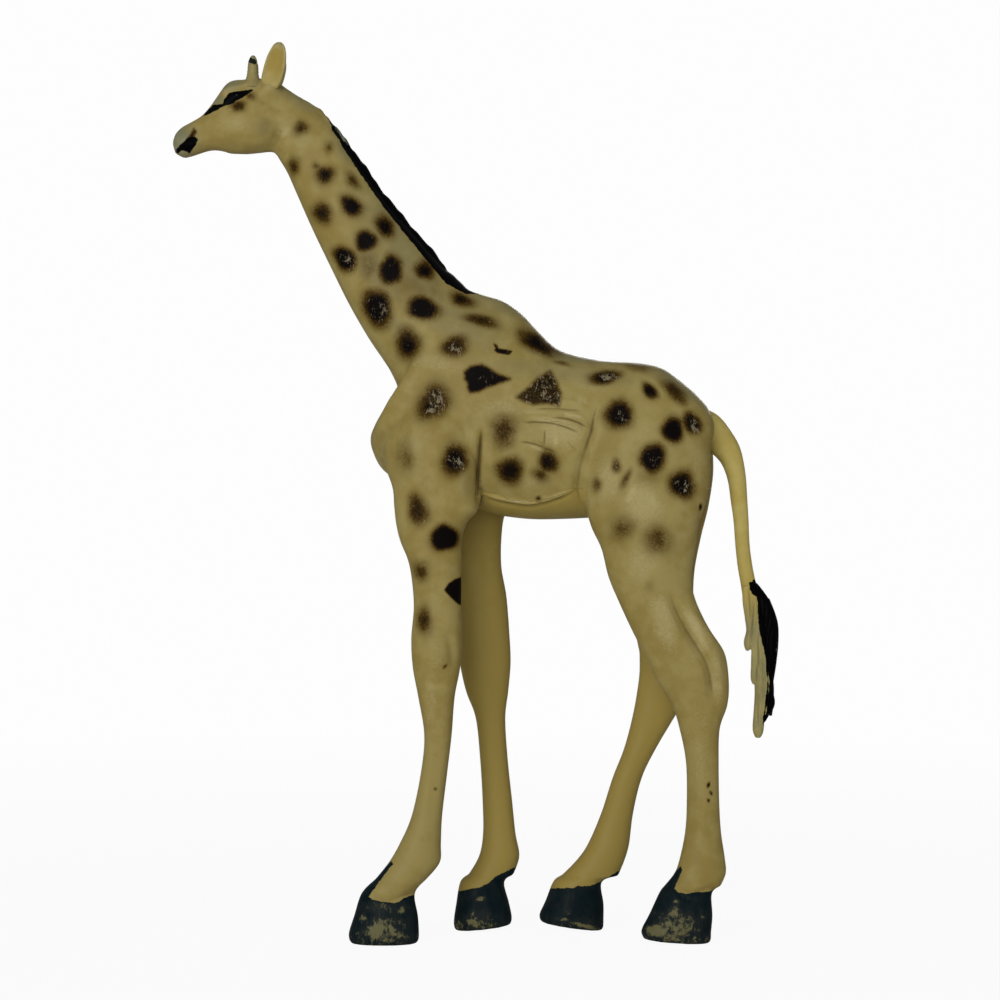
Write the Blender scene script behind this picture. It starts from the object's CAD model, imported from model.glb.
"""Moulded toy giraffe: two glued side shells, an under piece, plugged-in horns, ears and tail, and worn paint."""

import math

import bmesh
import bpy
import numpy as np
from mathutils import Matrix, Vector


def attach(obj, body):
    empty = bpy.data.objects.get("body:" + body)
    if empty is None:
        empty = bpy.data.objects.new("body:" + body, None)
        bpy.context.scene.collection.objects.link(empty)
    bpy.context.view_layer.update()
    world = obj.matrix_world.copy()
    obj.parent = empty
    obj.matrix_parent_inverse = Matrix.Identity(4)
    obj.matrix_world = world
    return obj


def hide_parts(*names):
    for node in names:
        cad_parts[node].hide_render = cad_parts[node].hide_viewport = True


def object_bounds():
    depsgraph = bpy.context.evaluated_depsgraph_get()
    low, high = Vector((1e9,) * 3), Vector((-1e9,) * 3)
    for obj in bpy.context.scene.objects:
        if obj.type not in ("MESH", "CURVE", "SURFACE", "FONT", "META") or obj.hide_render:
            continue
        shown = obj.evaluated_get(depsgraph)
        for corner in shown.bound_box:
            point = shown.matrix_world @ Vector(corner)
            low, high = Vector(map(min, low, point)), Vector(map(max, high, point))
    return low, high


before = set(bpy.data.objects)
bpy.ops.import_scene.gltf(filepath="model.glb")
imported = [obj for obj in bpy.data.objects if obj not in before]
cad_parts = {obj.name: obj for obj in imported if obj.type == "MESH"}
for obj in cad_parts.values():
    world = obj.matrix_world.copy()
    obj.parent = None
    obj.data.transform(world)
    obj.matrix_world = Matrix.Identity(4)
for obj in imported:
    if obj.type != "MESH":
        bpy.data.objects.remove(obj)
frame_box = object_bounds()

MM = 0.001
LEFT = -1
RIGHT = 1

# Sizes of the figure
LEG_LENGTH = 93.2 * MM
TRUNK_LENGTH = 76 * MM
TRUNK_DEPTH = 36 * MM
TRUNK_WIDTH = 27 * MM
NECK_LENGTH = 56.3 * MM
NECK_DEPTH = 20 * MM
NECK_WIDTH = 15 * MM
NECK_LEAN = math.radians(34)
HEAD_LENGTH = 25 * MM
HEAD_DEPTH = 16.5 * MM
HEAD_WIDTH = 10 * MM
HEAD_DROP = math.radians(13)
MANE_WIDTH = 3.2 * MM
MANE_HEIGHT = 2.4 * MM
LEG_SPACING = 19 * MM
LEG_WIDTH = 9 * MM
FORELEG_DEPTH = 11 * MM
HINDLEG_DEPTH = 15 * MM
HOOF_LENGTH = 15.4 * MM
HOOF_HEIGHT = 10.9 * MM
HOOF_WIDTH = 10.6 * MM
EAR_LENGTH = 11.15 * MM
EAR_WIDTH = 5.2 * MM
EAR_THICKNESS = 1.5 * MM
EAR_CUP = 1.1 * MM
EAR_SPREAD = math.radians(18)
EAR_LEAN = math.radians(12)
EAR_TURN = math.radians(20)
EAR_SPACING = 7.4 * MM
HORN_HEIGHT = 6.2 * MM
HORN_RADIUS = 1.75 * MM
HORN_SPREAD = math.radians(7)
HORN_LEAN = math.radians(2)
HORN_SPACING = 5.6 * MM
TAIL_FLATNESS = 0.8
SEAM_GAP = 0.03 * MM
MIDDLE_GAP = 0.004 * MM
RIGHT_HORN_SHIFT = (-0.35 * MM, 0, 0)
RIGHT_EAR_SHIFT = (-0.95 * MM, 0, -0.25 * MM)
BODY_SQUARENESS = 0.86
LEG_SQUARENESS = 0.92
# Middle of the trunk along the floor, from the middle of the whole figure's outline
TRUNK_START = 15.226 * MM

# Side drawing: places in drawing units from its top left corner, as one eye far off the left side sees them
UNIT = 0.2235 * MM
EYE = Vector((5.39 * MM, -650 * MM, 97.45 * MM))
SHEET_MIDDLE = 500

VOXEL = 0.355 * MM
FINE_VOXEL = 0.2 * MM
# Points round each form
BODY_SIDES = 96
LEG_SIDES = 64
MANE_SIDES = 32
HORN_SIDES = 48
STRAND_SIDES = 28
EAR_ARC = 25
# Pulls that smooth a skin: one that draws it in, and a pair that keeps its size
DRAW_IN = (0.5,)
KEEP_SIZE = (0.5, -0.52)
CAVITY_PASSES = 14
# Distances on the drawing that stand for none near
NO_PAINT = -9.0
NO_CREASE = 9.0
FAR = 1e9

# Sections of the body in shares of the sizes above, as in the solid model.
# Trunk, neck and head: along and up at the top, along and up at the bottom, width
NECK_ROOT = (-0.353, 1.17)
EAR_ROOT_SHARES = (0.035, 0.40)
HORN_ROOT_SHARES = (0.185, 0.57)
TRUNK_SHARES = (
    (0.5, 0.59, 0.49, 0.45, 0.26), (0.48, 0.69, 0.475, 0.29, 0.6), (0.445, 0.775, 0.44, 0.17, 0.78),
    (0.395, 0.865, 0.395, 0.09, 0.88), (0.34, 0.94, 0.325, 0.05, 0.94), (0.27, 0.97, 0.245, 0.02, 0.97),
    (0.18, 0.98, 0.155, 0.01, 0.99), (0.1, 1.01, 0.055, 0, 1), (0.035, 1.06, -0.045, 0, 0.99),
    (-0.02, 1.17, -0.145, 0.03, 0.96), (-0.065, 1.27, -0.24, 0.1, 0.91), (-0.12, 1.35, -0.36, 0.18, 0.85),
    (-0.18, 1.39, -0.46, 0.28, 0.78), (-0.22, 1.42, -0.5, 0.4, 0.71), (-0.24, 1.46, -0.508, 0.53, 0.66),
    (-0.255, 1.49, -0.466, 0.67, 0.62), (-0.27, 1.52, -0.432, 0.735, 0.6),
)
NECK_SHARES = (
    (0.16, 0.57, -0.13, -0.6, 1.04), (0.2, 0.555, -0.06, -0.565, 1.02), (0.25, 0.54, -0.005, -0.56, 0.99),
    (0.36, 0.5, 0.1, -0.56, 0.93), (0.47, 0.46, 0.25, -0.53, 0.86), (0.6, 0.44, 0.41, -0.47, 0.78),
    (0.73, 0.43, 0.58, -0.4, 0.71), (0.83, 0.43, 0.72, -0.33, 0.65), (0.9, 0.41, 0.82, -0.28, 0.61),
    (0.98, 0.37, 0.88, -0.27, 0.58),
)
HEAD_SHARES = (
    (-0.12, 0.39, 0.13, -0.4, 0.88), (-0.02, 0.52, 0.17, -0.36, 0.93), (0.1, 0.62, 0.27, -0.34, 0.99),
    (0.23, 0.66, 0.37, -0.32, 1.02), (0.34, 0.69, 0.45, -0.29, 1.02), (0.42, 0.66, 0.52, -0.26, 0.97),
    (0.52, 0.53, 0.58, -0.21, 0.88), (0.61, 0.41, 0.65, -0.17, 0.77), (0.7, 0.32, 0.72, -0.16, 0.67),
    (0.8, 0.27, 0.8, -0.17, 0.62), (0.89, 0.23, 0.88, -0.18, 0.63), (0.96, 0.16, 0.94, -0.17, 0.56),
    (1, 0.06, 1, -0.09, 0.36),
)
# Legs: height, middle, depth, width, distance from the middle plane
LEFT_FORELEG_SHARES = (
    (1.78, 0.1, 0.9, 0.8, 0.58), (1.58, -0.04, 1.6, 1.2, 0.76), (1.4, -0.12, 1.94, 1.36, 0.79),
    (1.2, 0.01, 1.78, 1.3, 0.85), (1.08, 0.01, 1.7, 1.2, 0.9), (0.99, -0.09, 1.42, 1.1, 0.94),
    (0.95, -0.1, 1.24, 1.02, 0.96), (0.89, -0.01, 1.04, 0.95, 1), (0.8, 0.03, 0.95, 0.88, 1),
    (0.72, 0.01, 1.01, 0.88, 1), (0.65, 0.01, 0.95, 0.84, 1), (0.58, 0.01, 0.73, 0.76, 1),
    (0.49, 0.04, 0.55, 0.68, 1), (0.4, -0.04, 0.53, 0.66, 1), (0.3, -0.18, 0.61, 0.7, 1),
    (0.235, -0.31, 0.82, 0.8, 1), (0.19, -0.43, 1.02, 0.86, 1), (0.15, -0.7, 1.02, 0.86, 1),
)
RIGHT_FORELEG_SHARES = (
    (1.78, 0.03, 0.9, 0.8, 0.58), (1.56, 0.01, 1.55, 1.2, 0.76), (1.34, 0.03, 1.79, 1.36, 0.8),
    (1.11, 0.13, 1.59, 1.22, 0.88), (0.975, 0.19, 1.28, 1.08, 0.95), (0.89, 0.24, 1.14, 0.97, 1),
    (0.81, 0.36, 1.12, 0.9, 1), (0.72, 0.44, 1.08, 0.88, 1), (0.65, 0.48, 1.05, 0.84, 1),
    (0.58, 0.52, 0.87, 0.76, 1), (0.515, 0.59, 0.61, 0.68, 1), (0.415, 0.66, 0.57, 0.66, 1),
    (0.315, 0.73, 0.61, 0.68, 1), (0.235, 0.77, 0.67, 0.76, 1), (0.18, 0.77, 0.83, 0.84, 1),
    (0.135, 0.6, 0.92, 0.86, 1),
)
LEFT_HINDLEG_SHARES = (
    (1.72, 0, 1.17, 0.9, 0.6), (1.54, -0.03, 1.66, 1.28, 0.76), (1.345, -0.04, 1.87, 1.46, 0.79),
    (1.14, -0.06, 1.82, 1.4, 0.83), (0.985, -0.075, 1.58, 1.3, 0.88), (0.93, -0.02, 1.38, 1.2, 0.92),
    (0.865, 0, 1.22, 1.08, 0.96), (0.81, 0.1, 1.14, 1, 0.98), (0.74, 0.3, 1.14, 0.92, 1),
    (0.685, 0.5, 1.19, 0.88, 1), (0.615, 0.64, 1.04, 0.84, 1), (0.56, 0.73, 0.81, 0.78, 1),
    (0.505, 0.73, 0.59, 0.7, 1), (0.425, 0.77, 0.48, 0.66, 1), (0.325, 0.78, 0.48, 0.66, 1),
    (0.26, 0.78, 0.53, 0.7, 1), (0.2, 0.77, 0.66, 0.78, 1), (0.165, 0.74, 0.75, 0.82, 1),
    (0.135, 0.63, 0.82, 0.84, 1),
)
RIGHT_HINDLEG_SHARES = (
    (1.72, 0.08, 1.06, 0.9, 0.6), (1.54, 0.06, 1.52, 1.28, 0.76), (1.32, 0.02, 1.71, 1.46, 0.79),
    (1.085, -0.01, 1.63, 1.36, 0.85), (0.955, -0.01, 1.4, 1.22, 0.91), (0.865, 0.01, 1.16, 1.08, 0.96),
    (0.775, 0.09, 1, 0.96, 1), (0.705, 0.2, 0.94, 0.9, 1), (0.65, 0.22, 0.89, 0.86, 1),
    (0.585, 0.14, 0.81, 0.8, 1), (0.515, -0.03, 0.63, 0.72, 1), (0.44, -0.23, 0.48, 0.66, 1),
    (0.37, -0.42, 0.44, 0.66, 1), (0.285, -0.57, 0.48, 0.7, 1), (0.21, -0.7, 0.62, 0.78, 1),
    (0.17, -0.82, 0.72, 0.82, 1), (0.133, -0.98, 0.85, 0.86, 1),
)
# Hooves: height, setback, length, width
HOOF_SHARES = (
    (1, 1, 0.76, 0.78), (0.55, 0.5, 0.91, 0.93), (0.22, 0, 1, 1), (0.07, 0, 0.99, 1), (0, 0, 0.93, 0.93),
)
# Seam over the under piece, and the top of the mane: along and up
SEAM_SHARES = (
    (-0.62, 0.18), (-0.19, 0.17), (-0.09, 0.11), (0, 0.12), (0.06, 0.16), (0.12, 0.19), (0.62, 0.19),
)
MANE_SHARES = (
    (0.04, 0.515), (0.12, 0.592), (0.25, 0.582), (0.4, 0.532), (0.54, 0.495), (0.67, 0.485), (0.78, 0.475),
    (0.88, 0.455), (0.96, 0.418), (1.04, 0.325),
)
# Ears: length, width, thickness
EAR_SHARES = (
    (-0.1, 0.44, 1.4), (0, 0.6, 1.4), (0.1, 0.77, 1.28), (0.22, 0.9, 1.12), (0.36, 0.94, 1),
    (0.54, 0.93, 0.92), (0.7, 0.85, 0.85), (0.84, 0.68, 0.75), (0.93, 0.5, 0.68), (0.98, 0.31, 0.58),
    (1, 0.1, 0.45),
)
# Horns: height, radius
HORN_SHARES = (
    (1, 0.12), (0.97, 0.27), (0.9, 0.42), (0.8, 0.55), (0.66, 0.62), (0.44, 0.68), (0.26, 0.78), (0.12, 0.92),
    (0.02, 1.06), (-0.1, 1.14),
)
# Side, depth and sections of each leg; shares for its root, its sole, the setback and size of its hoof
LEGS = {
    "left_foreleg": (LEFT, FORELEG_DEPTH, LEFT_FORELEG_SHARES, (-0.315, -1.04, 0.06, 1.00)),
    "right_foreleg": (RIGHT, FORELEG_DEPTH, RIGHT_FORELEG_SHARES, (-0.243, 0.43, -0.01, 0.85)),
    "left_hindleg": (LEFT, HINDLEG_DEPTH, LEFT_HINDLEG_SHARES, (0.305, 0.39, 0.13, 0.99)),
    "right_hindleg": (RIGHT, HINDLEG_DEPTH, RIGHT_HINDLEG_SHARES, (0.333, -1.26, 0.09, 0.94)),
}
# Stretch of the seam's stops on each flank
FLANK_SEAMS = {LEFT: (1, 5), RIGHT: (2, 5)}
# How far the toe and the heel of a hoof stand off the floor
SOLE_LIFTS = {"right_foreleg": (0, 1.3 * MM), "right_hindleg": (1.9 * MM, 0), "left_hindleg": (0.9 * MM, 0)}

# Joins that are smoothed over: place on the drawing, reach, passes
SOFT_JOINS = (
    (391, 424, 26, 20), (386, 448, 28, 90), (398, 384, 20, 14), (440, 380, 60, 26), (520, 372, 60, 30),
    (620, 400, 46, 24), (690, 440, 40, 16), (400, 450, 40, 14), (640, 480, 50, 12), (470, 460, 20, 4),
    (300, 110, 26, 12), (270, 130, 18, 6), (430, 520, 24, 8), (650, 560, 40, 8),
)
# Strands of the tail: how far to the back, and stops with their thickness
TAIL_STRANDS = (
    (0, ((699, 423, 16), (708, 429, 17), (717, 438, 15.6), (727, 450, 13.2), (733, 463, 10.8),
     (737, 480, 9.2), (739, 500, 8.4), (741, 520, 7.6), (742.5, 545, 7.2), (745, 566, 7.4), (748, 582, 7.6),
     (751, 596, 8.5))),
    (0, ((752, 586, 6), (762, 604, 8.5), (769, 624, 9), (770, 644, 8.4), (768, 666, 8), (766, 688, 6.8),
     (769, 703, 6), (765, 714, 4.4), (763, 722, 2))),
    (-3, ((750, 584, 7), (753, 606, 8), (757, 628, 8.4), (760, 650, 8), (761, 672, 7.4), (761, 694, 6.8),
     (758.7, 714, 5.6), (758, 726, 5.8), (757.8, 733, 4.8), (757.5, 737.5, 2.4))),
    (-7, ((745.5, 586, 3.4), (746, 600, 4.2), (748.5, 617, 4.4), (749.5, 630, 4), (747.6, 641, 4.4),
     (747, 647, 3.2), (747, 650.5, 1.6))),
    (-7, ((756, 632, 4), (755, 650, 4.2), (754, 666, 3.8), (753, 678, 3), (753.5, 684, 1.4))),
    (4, ((752, 590, 5), (756, 612, 6), (760, 640, 6), (762, 668, 5.4), (758, 700, 3), (757, 716, 1))),
    (3, ((764, 600, 6), (771, 622, 6.5), (772, 646, 5), (773, 662, 2))),
    (2, ((764, 660, 6), (769, 684, 5), (770, 702, 4), (771, 716, 1.4))),
)
# Tuft: outline of its black paint, rubbed patches of it, grooves between its locks
TUFT_PAINT = (
    (749, 582), (749.5, 588), (751.5, 593.5), (756.5, 597), (758, 602), (758, 613), (759, 630), (761.5, 640),
    (764.5, 652), (767, 666), (769.5, 680), (769, 690), (766.5, 700), (767, 710), (764.5, 718), (765, 724),
    (768, 727), (800, 727), (800, 576),
)
TUFT_PATCHES = ((777, 650, 3, 30, 0, 0.4), (762, 664, 4, 14, 0, 0.35), (770, 716, 6, 5, 0, 0.45))
TAIL_GROOVES = (
    ((754.5, 598), (753.5, 612), (752.5, 628), (750.5, 642)),
    ((757.5, 636), (758.5, 654), (757.5, 668), (755, 682)), ((748, 588), (750, 604), (750, 622)),
    ((761, 656), (763, 676), (762, 700)), ((759, 690), (758, 712), (759, 730)),
)

# Colours
CREAM = (0.306, 0.247, 0.087, 1)
DEEP_CREAM = (0.246, 0.184, 0.052, 1)
UNDER_CREAM = (0.306, 0.234, 0.066, 1)
DEEP_UNDER_CREAM = (0.252, 0.176, 0.032, 1)
TAIL_CREAM = (0.450, 0.370, 0.120, 1)
DEEP_TAIL_CREAM = (0.390, 0.300, 0.078, 1)
EAR_CREAM = (0.335, 0.268, 0.092, 1)
EAR_GOLD = (0.318, 0.234, 0.058, 1)
RUBBED_CREAM = (0.440, 0.375, 0.180, 1)
DULL_OLIVE = (0.160, 0.168, 0.104, 1)
GRIME = (0.070, 0.045, 0.012, 1)
SPECK = (0.050, 0.032, 0.012, 1)
WORN_OLIVE = (0.112, 0.112, 0.058, 1)
WORN_GREY = (0.210, 0.230, 0.160, 1)
RUBBED_SPOT = (0.270, 0.225, 0.135, 1)
SPOT_HAZE = (0.060, 0.031, 0.003, 1)
SPOT_CORE = (0.0034, 0.0022, 0.0021, 1)
BLACK_PAINT = (0.0010, 0.0008, 0.0012, 1)
HOOF_PAINT = ((0.0035, 0.0090, 0.0115, 1), (0.0150, 0.0190, 0.0185, 1))
HORN_PAINT = ((0.0100, 0.0120, 0.0080, 1), (0.0400, 0.0410, 0.0260, 1))
TUFT_BLACK = ((0.0004, 0.0004, 0.0005, 1), (0.0020, 0.0020, 0.0026, 1))

FLOOR_GREY = (0.86, 0.86, 0.86, 1)
BACKGROUND_WHITE = 0.985

# Light that comes from everywhere, and lamps: name, place, size across, power
AMBIENT = 0.18
LAMP_TARGET = Vector((0, 0, 0.1))
SENSOR_WIDTH = 36
LAMPS = (
    ("viewer_light", (-0.42, -1.25, 0.40), 1.1, 14.5),
    ("side_light", (1.1, -0.9, 0.4), 0.8, 2.2),
    ("top_light", (-0.2, 0.2, 1.5), 1.0, 0.4),
    ("back_light", (0.15, 1.35, 0.35), 0.6, 6.0),
)
# Share of plain white that the floor shows under the figure; farther off it all goes white
FLOOR_WHITE = 0.95
# Lip of the seam above the under piece
SEAM_LIP = (
    (478, 492), (488, 495), (498, 497.5), (515, 501), (532, 502.3), (548, 498.5), (565, 492.7), (577, 487.5),
)
# Folds and ridges on the sides: line on the drawing, half width, height (below zero for a groove), dirt
FOLDS = {
    "trunk": (
        # crease behind the shoulder, and the bulge of the elbow
        (((481.5, 425), (480.4, 439), (479, 458), (478, 480), (478.5, 500), (481, 512)), 2.6, -3.8, 0.9),
        (((471, 426), (469.5, 462), (469, 500)), 7.5, 3.4, 0),
        # crease in front of the haunch
        (((596, 410), (592.5, 428), (588, 442), (582, 460), (579, 474), (577.5, 492),
         (584, 514)), 4.6, -2.8, 0.16),
        (((597.5, 404), (594, 416), (591.5, 430), (587, 446), (585, 452)), 2.4, -1, 0.55),
        (((611, 414), (602, 436), (594, 460), (591, 488)), 9, 1.6, 0),
        # folds and wrinkles of skin in front of the haunch
        (((520, 419), (536, 418), (556, 419), (574, 426), (586, 434)), 2.4, 1.3, 0),
        (((519, 423), (536, 422), (554, 424), (568, 428), (581, 434)), 1.9, -1.1, 0.62),
        (((546, 414), (560, 413), (576, 416), (590, 424)), 2.2, 1.2, 0),
        (((549, 417.5), (560, 418), (574, 421), (589, 428)), 1.9, -1.1, 0.66),
        (((532, 409), (548, 408.5), (566, 409.5), (584, 411)), 1.9, -0.9, 0.45),
        (((560, 400), (574, 402), (586, 408)), 2.4, 1.1, 0),
        (((517, 441.5), (530, 443), (540, 446), (550, 450), (559, 454)), 1.9, -1.1, 0.68),
        (((545, 429), (544.6, 436), (544.2, 447)), 1.9, -0.8, 0.6),
        (((556, 430), (557, 440), (556, 450)), 3, 0.9, 0),
        (((566, 440), (572, 446), (578, 452)), 1.9, -0.6, 0.2),
        # lip of the seam above the under piece, and its end pips
        (SEAM_LIP, 1.9, 2.4, 0),
        (((478, 497), (498, 502), (515, 505.5), (532, 507), (548, 503), (565, 497),
         (577, 492)), 2.2, -1.2, 0.12),
        # shoulder blade and the root of the neck
        (((404, 326), (430, 322), (462, 326), (490, 334)), 8, 1.2, 0),
        (((396, 342), (410, 364), (416, 392), (408, 420)), 10, -1.4, 0),
        (((392, 470), (402, 486), (418, 498)), 8, -1.2, 0),
        (((430, 372), (452, 384), (470, 404), (476, 430)), 12, -1, 0),
        # hip ridge
        (((612, 364), (640, 374), (662, 388), (686, 403), (704, 417), (712, 432), (711, 452)), 7, 1.9, 0),
        (((640, 386), (664, 402), (688, 420), (700, 440)), 10, -1.2, 0),
    ),
    "leg": (
        # tendon groove and hock of the hind leg
        (((668, 588), (675, 608), (685, 628), (697, 647), (706, 664), (711, 684),
         (713, 706)), 5.5, -4.6, 0.42),
        (((684, 596), (699, 624), (714, 650), (720, 684)), 6, 2.6, 0),
        (((640, 640), (656, 664), (660, 690)), 8, 1.6, 0), (((655, 646), (668, 664), (678, 690)), 7, -1.2, 0),
        (((700, 740), (703, 790), (702, 840)), 5, 1, 0), (((690, 742), (692, 790), (690, 840)), 4, -1, 0),
        # knee and cannon of the foreleg
        (((424, 634), (436, 650), (444, 668)), 8, 1.6, 0), (((446, 630), (452, 650), (452, 672)), 4, -1.4, 0),
        (((420, 676), (434, 684), (448, 680)), 4, -1.2, 0), (((436, 720), (436, 770), (428, 830)), 5, -1, 0),
        (((448, 548), (456, 580), (458, 616)), 6, -1, 0),
        # coronet above each hoof
        (((366, 893), (385, 900), (402, 896), (417, 892)), 3.2, -2, 0),
        (((672, 889), (690, 893), (718, 886)), 3.2, -2, 0),
        (((676, 893), (686, 900), (699, 911)), 2.4, -1.8, 0.5),
    ),
    "head": (
        # cheek, jaw, eyelids, bridge of the nose, nostril and mouth
        (((222, 107), (230, 105), (241, 99), (254, 91)), 2.6, -1.4, 0),
        (((220, 98), (228, 90), (240, 87), (254, 86)), 2.6, 2.4, 0),
        (((226, 110), (236, 108), (246, 102)), 2.6, 1.6, 0),
        (((200, 121), (210, 113), (220, 106)), 3, -1.2, 0),
        (((240, 140), (256, 142), (268, 134), (272, 120)), 7, 2, 0),
        (((256, 103), (268, 104), (277, 108), (282, 116)), 5, -1.5, 0),
        (((270, 152), (277, 141), (281, 126)), 5.5, -2.2, 0),
        (((188, 138), (194, 134), (198, 138)), 2, 1.8, 0), (((186, 144), (192, 139), (197, 141)), 2, -2.4, 0),
        (((176, 148), (184, 149), (192, 150)), 2, -1.8, 0),
    ),
}
# Swellings: middle on the drawing, half sizes, height, where they show
SWELLINGS = (
    (643, 492, 34, 46, 3, "trunk"), (428, 440, 30, 44, 1.6, "trunk"), (530, 452, 44, 34, 1.6, "trunk"),
    (388, 436, 14, 24, 1.6, "trunk"), (470, 508, 9, 13, 4, "trunk"), (440, 352, 34, 20, 1.2, "trunk"),
    (240, 128, 26, 18, 2.4, "head"), (238, 96, 11, 6, 2, "head"), (186, 143, 11, 9, 1.6, "head"),
    (705, 662, 12, 26, 1.8, "leg"), (432, 652, 12, 20, 1.4, "leg"), (590, 444, 3, 20, 0.8, "trunk"),
    (300, 118, 22, 16, 1.2, "head"), (270, 90, 13, 9, 7.5, "head"), (253, 83, 10, 6, 4, "head"),
)
# Scuffed pale skin and dull greenish skin: middle, half sizes, lean, strength
SCUFFED = (
    (645, 508, 25, 35, 10, 0.64), (632, 494, 7, 15, 30, 0.7), (654, 502, 5, 13, -20, 0.75),
    (646, 560, 22, 34, 20, 0.5), (284, 131, 10, 8, -30, 0.62), (582, 400, 9, 4, 25, 0.45),
    (664, 622, 16, 34, -18, 0.62), (696, 628, 8, 30, -30, 0.8), (224, 126, 16, 9, 0, 0.3),
    (430, 700, 8, 44, 0, 0.4), (700, 760, 14, 50, 0, 0.4), (612, 476, 9, 10, 0, 0.6),
    (448, 300, 26, 30, 30, 0.25), (562, 432, 26, 22, 10, 0.62), (430, 362, 44, 12, 8, 0.45),
    (436, 650, 12, 24, 0, 0.4), (700, 640, 16, 34, 20, 0.45), (606, 480, 18, 30, 0, 0.5),
    (500, 408, 26, 12, 0, 0.45), (568, 415, 6, 3, 10, 0.9), (563, 423, 6, 2.4, 0, 0.8),
    (556, 441, 5, 5, 0, 0.8), (580, 402, 4, 3, 20, 0.5), (698, 462, 8, 26, 0, 0.35),
    (546, 420.5, 22, 1.8, 3, 0.85), (574, 415.4, 14, 1.8, 14, 0.8), (540, 449.5, 16, 2, 22, 0.7),
    (536, 412, 20, 2, 2, 0.5), (530, 480, 36, 10, 0, 0.45), (590, 385, 30, 10, 10, 0.4),
    (700, 720, 14, 40, 0, 0.3), (716, 676, 12, 34, 0, 0.55), (590, 500, 10, 14, 0, 0.4),
    (640, 430, 26, 16, 20, 0.35), (235, 125, 26, 12, 0, 0.42),
)
DULLED = (
    (178, 141, 21, 19, 0, 1.1), (182, 154, 12, 5, 0, 0.9), (228, 84, 18, 8, -10, 0.8),
    (217, 100, 9, 6, -45, 0.9), (300, 98, 26, 10, 25, 0.5), (254, 62, 9, 7, 0, 0.7),
    (345, 150, 10, 20, -35, 0.45), (500, 306, 50, 12, 14, 0.35), (575, 356, 50, 8, 4, 0.55),
    (680, 384, 40, 10, 30, 0.45), (402, 250, 22, 90, -36, 0.5), (462, 322, 60, 22, 20, 0.4),
    (560, 372, 90, 12, 6, 0.3), (400, 330, 30, 12, 50, 0.3), (256, 84, 10, 5, 0, 0.3),
    (262, 128, 9, 12, 0, 0.22), (376, 268, 16, 40, -35, 0.35), (465, 480, 7, 24, 0, 0.25),
)
# Deeper, yellower skin
TINTED = (
    (467, 478, 9, 30, 0, 0.95), (264, 128, 12, 13, 0, 0.8), (300, 110, 16, 12, 30, 0.7),
    (412, 292, 34, 24, -30, 0.7), (600, 452, 10, 30, 12, 0.7), (478, 630, 15, 130, 2, 1),
    (520, 500, 30, 8, 0, 0.5), (392, 470, 10, 30, 0, 0.6), (640, 640, 10, 30, -25, 0.6),
    (440, 740, 8, 60, 0, 0.4), (208, 132, 14, 8, -20, 0.6), (470, 516, 9, 10, 0, 0.9),
)

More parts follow.
